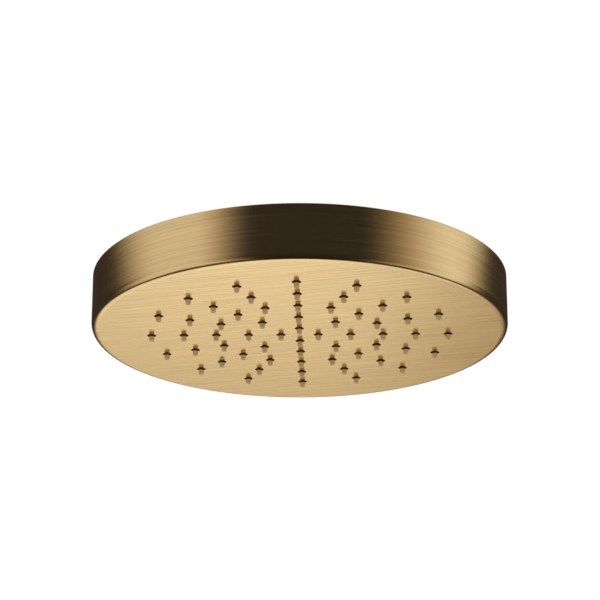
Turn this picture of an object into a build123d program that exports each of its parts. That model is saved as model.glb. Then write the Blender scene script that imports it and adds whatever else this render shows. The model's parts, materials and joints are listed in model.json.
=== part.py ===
from build123d import *
import os
from math import cos, radians, sin, sqrt

# Round rain shower head on a ball joint. Sixty soft nozzles look down through the spray face in five rings.
# The origin is where the inlet's pipe thread begins, on the axis of the head. +Z points up the supply pipe.
# All sizes are in millimetres.

# Drum: spray face and side wall are one brass cup
head_diameter = 200.0
drum_height = 26.9
lip_radius = 3.2
top_edge_break = 0.3
wall_thickness = 2.0
face_thickness = 1.5

# Lid, set flush into the top of the wall
lid_thickness = 2.0
lid_seat_width = 1.0
lid_clearance = 0.15
lid_edge_break = 0.3

# Nozzles: how many in each ring, from the centre outwards
ring_counts = (4, 8, 16, 16, 16)
first_ring_radius = 8.96
face_hole_diameter = 4.4
nozzle_diameter = 2.6
nozzle_reach = 2.75
nozzle_tip_break = 0.25
jet_diameter = 1.1
mat_thickness = 2.0

# Water chamber behind the mat
nozzle_margin = 3.14
chamber_wall = 4.0
mat_overhang = 0.5
boss_gap = 3.0
boss_diameter = 9.0
boss_height = 4.5
flange_margin = 1.0
flange_wall_gap = 6.0
flange_thickness = 3.0
chamber_depth = 5.5
roof_thickness = 2.5
clamp_rib_width = 1.6
channel_count = 4
channel_width = 6.0
stiffener_count = 8
stiffener_width = 2.0
stiffener_height = 3.0
stiffener_rim_gap = 2.0
neck_wall = 3.5
neck_lid_gap = 0.6

# Screws that hold the chamber cover to the bosses of the cup
screw_count = 8
screw_diameter = 4.0
screw_grip_depth = 3.5
screw_fit = 0.05
screw_head_diameter = 7.2
screw_head_height = 2.6
screw_socket_width = 2.5
screw_socket_sides = 6
screw_socket_depth = 1.4
washer_diameter = 8.6
washer_thickness = 0.8
cover_hole_clearance = 0.25

# Ball joint
ball_diameter = 30.0
ball_end_land = 3.5
ball_fit = 0.06
ball_bore_clearance = 0.3
tilt_limit = 15.0
tilt_clearance = 0.4
friction_ring_bottom = 2.5
friction_ring_height = 4.9
ball_seal_top = 4.0
ball_seal_height = 4.6
seat_clearance = 0.1

# Barrel that holds the ball, with the flange that clamps the lid
barrel_wall = 2.7
barrel_end_margin = 2.5
barrel_flange_width = 6.0
barrel_flange_thickness = 2.0
barrel_flange_top = 2.5
barrel_flange_break = 0.5
flange_gasket_thickness = 0.8
flange_gasket_margin = 0.3
barrel_gasket_thickness = 2.0
barrel_gasket_width = 3.5
thread_fit = 0.05
insert_wall = 3.4

# Collar nut over the ball
collar_wall = 3.95
collar_lip_thickness = 1.8
collar_ball_gap = 0.31
collar_edge_break = 1.2
collar_flat_depth = 1.5
collar_flat_height = 6.0

# Stem with the G 1/2 inlet socket
inlet_bore_diameter = 18.63
inlet_thread_length = 9.5
inlet_mouth_break = 0.8
relief_depth = 1.285
relief_length = 2.0
stem_wall = 1.7
socket_wall = 2.4
socket_edge_break = 0.5
socket_flat_depth = 1.0
socket_flat_height = 7.0
neck_diameter = 19.0
regulator_pocket_diameter = 15.0
regulator_pocket_depth = 5.0
stem_bore_diameter = 11.0

# Strainer and flow regulator in the socket
gasket_thread_clearance = 0.115
gasket_width = 2.4
screen_overlap = 0.7
screen_thickness = 0.5
screen_groove_clearance = 0.05
screen_hole_diameter = 1.6
screen_hole_pitch = 2.6
screen_hole_rings = 2
screen_ring_step = 6
regulator_clearance = 0.1
regulator_wall = 2.0
regulator_floor = 1.2
regulator_spokes = 3
regulator_spoke_width = 1.6
regulator_core_diameter = 5.0
regulator_core_height = 3.4
regulator_ring_section = 1.6

# Radii worked inwards from the wall of the drum
head_radius = head_diameter / 2
cup_inner_radius = head_radius - wall_thickness
lid_recess_radius = cup_inner_radius + lid_seat_width
lid_radius = lid_recess_radius - lid_clearance
flange_radius = cup_inner_radius - flange_wall_gap
boss_circle = flange_radius - flange_margin - boss_diameter / 2
mat_radius = boss_circle - boss_diameter / 2 - boss_gap
chamber_outer_radius = mat_radius - mat_overhang
chamber_radius = chamber_outer_radius - chamber_wall
outer_ring_radius = chamber_radius - nozzle_margin
ring_pitch = (outer_ring_radius - first_ring_radius) / (len(ring_counts) - 1)
nozzle_rings = [(first_ring_radius + i * ring_pitch, count) for i, count in enumerate(ring_counts)]
clamp_rib_radii = [radius + ring_pitch / 2 for radius, count in nozzle_rings[:-1]]
ball_radius = ball_diameter / 2
seat_radius = ball_radius + ball_fit
ball_bore_radius = ball_radius + ball_bore_clearance
barrel_radius = ball_bore_radius + barrel_wall
barrel_flange_radius = barrel_radius + barrel_flange_width
water_bore_radius = barrel_radius - barrel_gasket_width
thread_bore_radius = barrel_radius + thread_fit
insert_radius = thread_bore_radius + insert_wall
neck_radius = insert_radius + neck_wall
collar_radius = thread_bore_radius + collar_wall
stem_bore_radius = stem_bore_diameter / 2
stem_neck_radius = neck_diameter / 2
inlet_radius = inlet_bore_diameter / 2
relief_radius = inlet_radius + relief_depth
socket_radius = relief_radius + socket_wall
gasket_radius = inlet_radius - gasket_thread_clearance
gasket_bore_radius = gasket_radius - gasket_width


def ball_width(height, radius):
    """Radius of a ball at a height above or below its centre."""
    return sqrt(radius**2 - height**2)


# Heights above and depths below the ball's centre
collar_lip_bottom = friction_ring_bottom + friction_ring_height + seat_clearance
collar_top = collar_lip_bottom + collar_lip_thickness
opening_radius = ball_width(collar_lip_bottom, ball_radius) + collar_ball_gap
seal_bottom = ball_seal_top + ball_seal_height
seal_ledge_drop = seal_bottom + seat_clearance
seal_ledge_radius = ball_width(seal_ledge_drop, ball_radius) + ball_bore_clearance
ball_flat_radius = stem_bore_radius + ball_end_land
ball_flat_drop = ball_width(ball_flat_radius, ball_radius)
barrel_bottom_drop = ball_flat_drop + barrel_end_margin
tilt = radians(tilt_limit)
stem_neck_top = opening_radius * sin(tilt) + collar_top * cos(tilt) + tilt_clearance
socket_bottom = stem_neck_top + socket_radius - stem_neck_radius
gasket_seat = stem_neck_top + relief_radius + stem_wall - stem_neck_radius

# Levels from the inlet down
gasket_seat_z = -inlet_thread_length - relief_length
ball_z = gasket_seat_z - gasket_seat
barrel_top_z = ball_z + friction_ring_bottom - seat_clearance
flange_top_z = ball_z - barrel_flange_top
flange_bottom_z = flange_top_z - barrel_flange_thickness
top_z = flange_bottom_z - flange_gasket_thickness
lid_seat_z = top_z - lid_thickness
face_z = top_z - drum_height
barrel_bottom_z = ball_z - barrel_bottom_drop
neck_shoulder_z = barrel_bottom_z - barrel_gasket_thickness
neck_top_z = lid_seat_z - neck_lid_gap

# Levels from the spray face up
inner_face_z = face_z + face_thickness
mat_top_z = inner_face_z + mat_thickness
roof_z = mat_top_z + chamber_depth
roof_top_z = roof_z + roof_thickness
boss_top_z = inner_face_z + boss_height
flange_face_z = boss_top_z + flange_thickness
screw_head_z = flange_face_z + washer_thickness
screw_tip_z = boss_top_z - screw_grip_depth

# Shell: cup with a rounded lip, holes for the nozzles and screw bosses on the back of the face
with BuildPart() as shell:
    with BuildSketch(Plane.XZ):
        with BuildLine():
            lip_start = (head_radius - lip_radius, face_z)
            lip_end = (head_radius, face_z + lip_radius)
            Line((0, face_z), lip_start)
            RadiusArc(lip_start, lip_end, -lip_radius)
            Polyline(
                lip_end,
                (head_radius, top_z - top_edge_break),
                (head_radius - top_edge_break, top_z),
                (lid_recess_radius, top_z),
                (lid_recess_radius, lid_seat_z),
                (cup_inner_radius, lid_seat_z),
                (cup_inner_radius, inner_face_z),
                (0, inner_face_z),
                (0, face_z),
            )
        make_face()
    revolve(axis=Axis.Z)
    with BuildSketch(Plane.XY.offset(inner_face_z)):
        with PolarLocations(boss_circle, screw_count):
            Circle(boss_diameter / 2)
    extrude(amount=boss_height)
    with BuildSketch(Plane.XY.offset(boss_top_z)):
        with PolarLocations(boss_circle, screw_count):
            Circle(screw_diameter / 2 + screw_fit)
    extrude(amount=-screw_grip_depth - screw_fit, mode=Mode.SUBTRACT)
    with BuildSketch(Plane.XY.offset(face_z)):
        for radius, count in nozzle_rings:
            with PolarLocations(radius, count):
                Circle(face_hole_diameter / 2)
    extrude(amount=face_thickness, mode=Mode.SUBTRACT)
shell.part.label = "shell"

# Nozzle mat: soft sheet with a bored nozzle for each hole of the face
with BuildPart() as nozzle_mat:
    with BuildSketch(Plane.XY.offset(inner_face_z)):
        Circle(mat_radius)
    extrude(amount=mat_thickness)
    with BuildSketch(Plane.XY.offset(inner_face_z)):
        for radius, count in nozzle_rings:
            with PolarLocations(radius, count):
                Circle(nozzle_diameter / 2)
    extrude(amount=-face_thickness - nozzle_reach)
    nozzle_tips = nozzle_mat.edges().filter_by(GeomType.CIRCLE).group_by(Axis.Z)[0]
    chamfer(nozzle_tips, nozzle_tip_break)
    with BuildSketch(Plane.XY.offset(mat_top_z)):
        for radius, count in nozzle_rings:
            with PolarLocations(radius, count):
                Circle(jet_diameter / 2)
    extrude(amount=-mat_thickness - face_thickness - nozzle_reach, mode=Mode.SUBTRACT)
nozzle_mat.part.label = "nozzle_mat"

# Chamber cover: dish with a screw flange, a neck for the inlet and ribs that clamp the mat
with BuildPart() as chamber_cover:
    with BuildSketch(Plane.XZ):
        with BuildLine():
            Polyline(
                (chamber_radius, mat_top_z),
                (chamber_outer_radius, mat_top_z),
                (chamber_outer_radius, boss_top_z),
                (flange_radius, boss_top_z),
                (flange_radius, flange_face_z),
                (chamber_outer_radius, flange_face_z),
                (chamber_outer_radius, roof_top_z),
                (neck_radius, roof_top_z),
                (neck_radius, neck_top_z),
                (insert_radius, neck_top_z),
                (insert_radius, neck_shoulder_z),
                (water_bore_radius, neck_shoulder_z),
                (water_bore_radius, roof_z),
                (chamber_radius, roof_z),
                (chamber_radius, mat_top_z),
            )
        make_face()
    revolve(axis=Axis.Z)
    with BuildSketch(Plane.XY.offset(mat_top_z)):
        for radius in clamp_rib_radii:
            Circle(radius + clamp_rib_width / 2)
            Circle(radius - clamp_rib_width / 2, mode=Mode.SUBTRACT)
        with PolarLocations(chamber_radius / 2, channel_count):
            Rectangle(chamber_radius, channel_width, mode=Mode.SUBTRACT)
    extrude(amount=chamber_depth)
    with BuildSketch(Plane.XY.offset(roof_top_z)):
        stiffener_start = neck_radius - neck_wall / 2
        stiffener_end = chamber_outer_radius - stiffener_rim_gap
        with PolarLocations((stiffener_start + stiffener_end) / 2, stiffener_count):
            Rectangle(stiffener_end - stiffener_start, stiffener_width)
    extrude(amount=stiffener_height)
    with BuildSketch(Plane.XY.offset(boss_top_z)):
        with PolarLocations(boss_circle, screw_count):
            Circle(screw_diameter / 2 + cover_hole_clearance)
    extrude(amount=flange_thickness, mode=Mode.SUBTRACT)
chamber_cover.part.label = "chamber_cover"

# Washers and screws round the flange of the chamber cover
with BuildPart() as screw_washers:
    with BuildSketch(Plane.XY.offset(flange_face_z)):
        with PolarLocations(boss_circle, screw_count):
            Circle(washer_diameter / 2)
            Circle(screw_diameter / 2 + cover_hole_clearance, mode=Mode.SUBTRACT)
    extrude(amount=washer_thickness)
screw_washers.part.label = "screw_washers"

with BuildPart() as chamber_screws:
    with BuildSketch(Plane.XY.offset(screw_head_z)):
        with PolarLocations(boss_circle, screw_count):
            Circle(screw_head_diameter / 2)
    extrude(amount=screw_head_height)
    with BuildSketch(Plane.XY.offset(screw_tip_z)):
        with PolarLocations(boss_circle, screw_count):
            Circle(screw_diameter / 2)
    extrude(amount=screw_head_z - screw_tip_z)
    with BuildSketch(Plane.XY.offset(screw_head_z + screw_head_height)):
        with PolarLocations(boss_circle, screw_count):
            RegularPolygon(screw_socket_width / 2, screw_socket_sides, major_radius=False)
    extrude(amount=-screw_socket_depth, mode=Mode.SUBTRACT)
chamber_screws.part.label = "chamber_screws"

# Threaded insert in the neck, and the seal that the barrel presses on the neck's shoulder
with BuildPart() as neck_insert:
    with BuildSketch(Plane.XY.offset(neck_shoulder_z)):
        Circle(insert_radius)
        Circle(thread_bore_radius, mode=Mode.SUBTRACT)
    extrude(amount=neck_top_z - neck_shoulder_z)
neck_insert.part.label = "neck_insert"

with BuildPart() as barrel_gasket:
    with BuildSketch(Plane.XY.offset(neck_shoulder_z)):
        Circle(barrel_radius)
        Circle(water_bore_radius, mode=Mode.SUBTRACT)
    extrude(amount=barrel_gasket_thickness)
barrel_gasket.part.label = "barrel_gasket"

# Lid and the gasket that the barrel's flange clamps on it
with BuildPart() as lid:
    with BuildSketch(Plane.XY.offset(lid_seat_z)):
        Circle(lid_radius)
        Circle(barrel_radius + lid_clearance, mode=Mode.SUBTRACT)
    extrude(amount=lid_thickness)
    lid_rim = lid.faces().sort_by(Axis.Z)[-1].outer_wire().edges()
    chamfer(lid_rim, lid_edge_break)
lid.part.label = "lid"

with BuildPart() as flange_gasket:
    with BuildSketch(Plane.XY.offset(top_z)):
        Circle(barrel_flange_radius - flange_gasket_margin)
        Circle(barrel_radius + lid_clearance, mode=Mode.SUBTRACT)
    extrude(amount=flange_gasket_thickness)
flange_gasket.part.label = "flange_gasket"

# Barrel: holds the ball, carries the collar nut above the lid and screws into the neck below it
with BuildPart() as ball_socket:
    seal_ledge_z = ball_z - seal_ledge_drop
    with BuildSketch(Plane.XZ):
        with BuildLine():
            Polyline(
                (seal_ledge_radius, barrel_bottom_z),
                (barrel_radius, barrel_bottom_z),
                (barrel_radius, flange_bottom_z),
                (barrel_flange_radius, flange_bottom_z),
                (barrel_flange_radius, flange_top_z - barrel_flange_break),
                (barrel_flange_radius - barrel_flange_break, flange_top_z),
                (barrel_radius, flange_top_z),
                (barrel_radius, barrel_top_z),
                (ball_bore_radius, barrel_top_z),
                (ball_bore_radius, seal_ledge_z),
                (seal_ledge_radius, seal_ledge_z),
                close=True,
            )
        make_face()
    revolve(axis=Axis.Z)
ball_socket.part.label = "ball_socket"

# Seal ring below the ball and friction ring above it, both with a round seat
with BuildPart() as ball_seal:
    seal_middle = ball_seal_top + ball_seal_height / 2
    with BuildSketch(Plane.XZ):
        with BuildLine():
            seal_low = (ball_width(seal_bottom, seat_radius), ball_z - seal_bottom)
            seal_mid = (ball_width(seal_middle, seat_radius), ball_z - seal_middle)
            seal_high = (ball_width(ball_seal_top, seat_radius), ball_z - ball_seal_top)
            ThreePointArc(seal_low, seal_mid, seal_high)
            Polyline(
                seal_high,
                (ball_bore_radius - seat_clearance, ball_z - ball_seal_top),
                (ball_bore_radius - seat_clearance, ball_z - seal_bottom),
                seal_low,
            )
        make_face()
    revolve(axis=Axis.Z)
ball_seal.part.label = "ball_seal"

with BuildPart() as friction_ring:
    ring_top = friction_ring_bottom + friction_ring_height
    ring_middle = friction_ring_bottom + friction_ring_height / 2
    with BuildSketch(Plane.XZ):
        with BuildLine():
            ring_low = (ball_width(friction_ring_bottom, seat_radius), ball_z + friction_ring_bottom)
            ring_mid = (ball_width(ring_middle, seat_radius), ball_z + ring_middle)
            ring_high = (ball_width(ring_top, seat_radius), ball_z + ring_top)
            ThreePointArc(ring_low, ring_mid, ring_high)
            Polyline(
                ring_high,
                (thread_bore_radius - seat_clearance, ball_z + ring_top),
                (thread_bore_radius - seat_clearance, ball_z + friction_ring_bottom),
                ring_low,
            )
        make_face()
    revolve(axis=Axis.Z)
friction_ring.part.label = "friction_ring"

# Collar nut: closes the joint over the friction ring, with a pair of spanner flats
with BuildPart() as collar_nut:
    collar_bottom_z = flange_top_z + seat_clearance
    collar_top_z = ball_z + collar_top
    with BuildSketch(Plane.XZ):
        with BuildLine():
            Polyline(
                (thread_bore_radius, collar_bottom_z),
                (collar_radius, collar_bottom_z),
                (collar_radius, collar_top_z - collar_edge_break),
                (collar_radius - collar_edge_break, collar_top_z),
                (opening_radius + collar_lip_thickness / 2, collar_top_z),
                (opening_radius, collar_top_z - collar_lip_thickness / 2),
                (opening_radius, ball_z + collar_lip_bottom),
                (thread_bore_radius, ball_z + collar_lip_bottom),
                close=True,
            )
        make_face()
    revolve(axis=Axis.Z)
    with BuildSketch(Plane.XY.offset(collar_bottom_z)):
        Rectangle(2 * collar_radius, 2 * collar_radius)
        Rectangle(2 * collar_radius, 2 * (collar_radius - collar_flat_depth), mode=Mode.SUBTRACT)
    extrude(amount=collar_flat_height, mode=Mode.SUBTRACT)
collar_nut.part.label = "collar_nut"

# Ball stem: ball, neck and inlet socket turned from one bar, with the waterway through it
with BuildPart() as ball_stem:
    ball_flat_z = ball_z - ball_flat_drop
    neck_root_z = ball_z + ball_width(stem_neck_radius, ball_radius)
    with BuildSketch(Plane.XZ):
        with BuildLine():
            ball_flat = (ball_flat_radius, ball_flat_z)
            neck_root = (stem_neck_radius, neck_root_z)
            ThreePointArc(ball_flat, (ball_radius, ball_z), neck_root)
            Polyline(
                neck_root,
                (stem_neck_radius, ball_z + stem_neck_top),
                (socket_radius, ball_z + socket_bottom),
                (socket_radius, inlet_mouth_break - socket_edge_break),
                (socket_radius - socket_edge_break, inlet_mouth_break),
                (0, inlet_mouth_break),
                (0, ball_flat_z),
                ball_flat,
            )
        make_face()
    revolve(axis=Axis.Z)
    with BuildSketch(Plane.XZ):
        with BuildLine():
            pocket_z = gasket_seat_z - regulator_pocket_depth
            Polyline(
                (0, inlet_mouth_break),
                (inlet_radius + inlet_mouth_break, inlet_mouth_break),
                (inlet_radius, 0),
                (inlet_radius, -inlet_thread_length),
                (relief_radius, -inlet_thread_length),
                (relief_radius, gasket_seat_z),
                (regulator_pocket_diameter / 2, gasket_seat_z),
                (regulator_pocket_diameter / 2, pocket_z),
                (stem_bore_radius, pocket_z),
                (stem_bore_radius, ball_flat_z),
                (0, ball_flat_z),
                close=True,
            )
        make_face()
    revolve(axis=Axis.Z, mode=Mode.SUBTRACT)
    with BuildSketch(Plane.XY.offset(inlet_mouth_break)):
        Rectangle(2 * socket_radius, 2 * socket_radius)
        Rectangle(2 * socket_radius, 2 * (socket_radius - socket_flat_depth), mode=Mode.SUBTRACT)
    extrude(amount=-socket_flat_height, mode=Mode.SUBTRACT)
ball_stem.part.label = "ball_stem"

# Strainer: perforated screen gripped in the groove of a flat gasket
with BuildPart() as strainer_gasket:
    screen_radius = gasket_bore_radius + screen_overlap
    screen_z = gasket_seat_z + relief_length / 2
    with BuildSketch(Plane.XY.offset(gasket_seat_z)):
        Circle(gasket_radius)
        Circle(gasket_bore_radius, mode=Mode.SUBTRACT)
    extrude(amount=relief_length)
    with Locations((0, 0, screen_z)):
        Cylinder(
            screen_radius + screen_groove_clearance,
            screen_thickness + 2 * screen_groove_clearance,
            mode=Mode.SUBTRACT,
        )
strainer_gasket.part.label = "strainer_gasket"

with BuildPart() as strainer_screen:
    with BuildSketch(Plane.XY.offset(screen_z - screen_thickness / 2)):
        Circle(screen_radius)
        Circle(screen_hole_diameter / 2, mode=Mode.SUBTRACT)
        for ring in range(1, screen_hole_rings + 1):
            with PolarLocations(ring * screen_hole_pitch, ring * screen_ring_step):
                Circle(screen_hole_diameter / 2, mode=Mode.SUBTRACT)
    extrude(amount=screen_thickness)
strainer_screen.part.label = "strainer_screen"

# Flow regulator: cup with a spoked core, and the soft ring that narrows its passage under pressure
with BuildPart() as flow_regulator:
    regulator_radius = regulator_pocket_diameter / 2 - regulator_clearance
    regulator_bore = regulator_radius - regulator_wall
    with BuildSketch(Plane.XY.offset(pocket_z)):
        Circle(regulator_radius)
        Circle(regulator_bore, mode=Mode.SUBTRACT)
    extrude(amount=regulator_pocket_depth - regulator_clearance)
    with BuildSketch(Plane.XY.offset(pocket_z)):
        Circle(regulator_core_diameter / 2)
        with PolarLocations(regulator_radius / 2, regulator_spokes):
            Rectangle(regulator_radius, regulator_spoke_width)
    extrude(amount=regulator_floor)
    with BuildSketch(Plane.XY.offset(pocket_z)):
        Circle(regulator_core_diameter / 2)
    extrude(amount=regulator_core_height)
flow_regulator.part.label = "flow_regulator"

with BuildPart() as regulator_ring:
    ring_bore = regulator_core_diameter / 2 + regulator_clearance
    with BuildSketch(Plane.XY.offset(pocket_z + regulator_floor)):
        Circle(ring_bore + regulator_ring_section)
        Circle(ring_bore, mode=Mode.SUBTRACT)
    extrude(amount=regulator_ring_section)
regulator_ring.part.label = "regulator_ring"

os.makedirs("parts", exist_ok=True)
pieces = [
    shell,
    nozzle_mat,
    chamber_cover,
    screw_washers,
    chamber_screws,
    neck_insert,
    barrel_gasket,
    lid,
    flange_gasket,
    ball_socket,
    ball_seal,
    friction_ring,
    collar_nut,
    ball_stem,
    strainer_gasket,
    strainer_screen,
    flow_regulator,
    regulator_ring,
]
for piece in pieces:
    export_step(piece.part, f"parts/{piece.part.label}.step")
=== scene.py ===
"""Looks of a round rain shower head on a ball joint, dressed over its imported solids.

Every size is in metres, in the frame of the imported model: the origin is where the inlet's
pipe thread begins, on the axis of the head, and +Z points up the supply pipe.
"""

import json
import logging
import math
from dataclasses import dataclass
from enum import Enum

import bmesh
import bpy
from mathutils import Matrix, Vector


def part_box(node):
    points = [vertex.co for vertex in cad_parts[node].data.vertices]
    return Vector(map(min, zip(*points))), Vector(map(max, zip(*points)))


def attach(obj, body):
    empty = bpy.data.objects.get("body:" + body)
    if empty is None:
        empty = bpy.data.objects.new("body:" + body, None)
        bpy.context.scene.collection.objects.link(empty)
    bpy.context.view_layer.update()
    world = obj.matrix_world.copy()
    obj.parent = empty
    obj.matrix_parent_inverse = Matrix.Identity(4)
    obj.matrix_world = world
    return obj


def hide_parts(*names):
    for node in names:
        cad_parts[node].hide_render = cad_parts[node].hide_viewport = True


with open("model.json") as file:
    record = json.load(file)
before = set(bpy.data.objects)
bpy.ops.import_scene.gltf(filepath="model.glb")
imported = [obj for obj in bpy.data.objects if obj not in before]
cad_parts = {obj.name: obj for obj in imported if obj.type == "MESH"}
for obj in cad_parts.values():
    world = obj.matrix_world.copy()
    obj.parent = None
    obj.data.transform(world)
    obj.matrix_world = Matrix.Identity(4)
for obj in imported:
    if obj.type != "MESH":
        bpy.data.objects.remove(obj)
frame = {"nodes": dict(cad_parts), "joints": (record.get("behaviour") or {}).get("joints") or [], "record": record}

# A Spot is a place on the ground plan, and a Span is where a range or a smooth step begins and ends.
Colour = tuple[float, float, float]
Point = tuple[float, float, float]
Spot = tuple[float, float]
Span = tuple[float, float]
Profile = list[tuple[float, float]]
Ring = list[bmesh.types.BMVert]
Sockets = dict[int | str, object]

LOG = logging.getLogger("shower_head")
MILLIMETRE = 0.001
FACE_HEIGHT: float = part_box("shell")[0].z
WHITE: Colour = (1.0, 1.0, 1.0)


class Body(Enum):
    """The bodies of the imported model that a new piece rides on."""

    INLET = "inlet"
    HEAD = "head"


class Slot(Enum):
    """The record's material slots by name, which no piece here takes its finish from."""

    BRASS = "brushed_brass"
    SILICONE = "nozzle_silicone"


class Value:
    """One output socket of a node sheet, with operators that add Math nodes to the sheet."""

    def __init__(self, sheet: "NodeSheet", socket: bpy.types.NodeSocket) -> None:
        """Wrap an output socket of a sheet."""
        self.sheet = sheet
        self.socket = socket

    def math(self, operation: str, *operands: "Value | float") -> "Value":
        """The result of a Math node, by Blender's name of its operation and its operands in order."""
        return self.sheet.node("ShaderNodeMath", {"operation": operation}, dict(enumerate(operands)))

    def __add__(self, other: "Value | float") -> "Value":
        """This value plus another."""
        return self.math("ADD", self, other)

    def __radd__(self, other: float) -> "Value":
        """A number plus this value."""
        return self.math("ADD", other, self)

    def __sub__(self, other: "Value | float") -> "Value":
        """This value less another."""
        return self.math("SUBTRACT", self, other)

    def __rsub__(self, other: float) -> "Value":
        """A number less this value."""
        return self.math("SUBTRACT", other, self)

    def __mul__(self, other: "Value | float") -> "Value":
        """This value times another."""
        return self.math("MULTIPLY", self, other)

    def __rmul__(self, other: float) -> "Value":
        """A number times this value."""
        return self.math("MULTIPLY", other, self)

    def __truediv__(self, other: "Value | float") -> "Value":
        """This value divided by another."""
        return self.math("DIVIDE", self, other)

    def __rtruediv__(self, other: float) -> "Value":
        """A number divided by this value."""
        return self.math("DIVIDE", other, self)

    def __pow__(self, other: "Value | float") -> "Value":
        """This value to a power."""
        return self.math("POWER", self, other)

    def __rpow__(self, other: float) -> "Value":
        """A number to the power of this value."""
        return self.math("POWER", other, self)

    def __neg__(self) -> "Value":
        """This value with its sign changed."""
        return self.math("MULTIPLY", self, -1.0)

    def __abs__(self) -> "Value":
        """This value without its sign."""
        return self.math("ABSOLUTE", self)

    def larger(self, other: "Value | float") -> "Value":
        """The larger of this value and another."""
        return self.math("MAXIMUM", self, other)

    def hypot(self, other: "Value") -> "Value":
        """The length of a flat vector whose parts are this value and another."""
        return (self * self + other * other) ** 0.5

    def step(self, low: float, high: float) -> "Value":
        """Rise smoothly from 0 to 1 as this value goes from low to high."""
        settings = {"interpolation_type": "SMOOTHSTEP"}
        return self.sheet.node("ShaderNodeMapRange", settings, {0: self, 1: low, 2: high, 3: 0.0, 4: 1.0})

    def about(self, mean: float, spread: float) -> "Value":
        """Stretch a value from 0 to 1 over a spread that has a mean at its middle."""
        return self * spread + (mean - spread / 2)

    def output(self, name: str) -> "Value":
        """Another output of the node that this value comes from."""
        return Value(self.sheet, self.socket.node.outputs[name])


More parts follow.
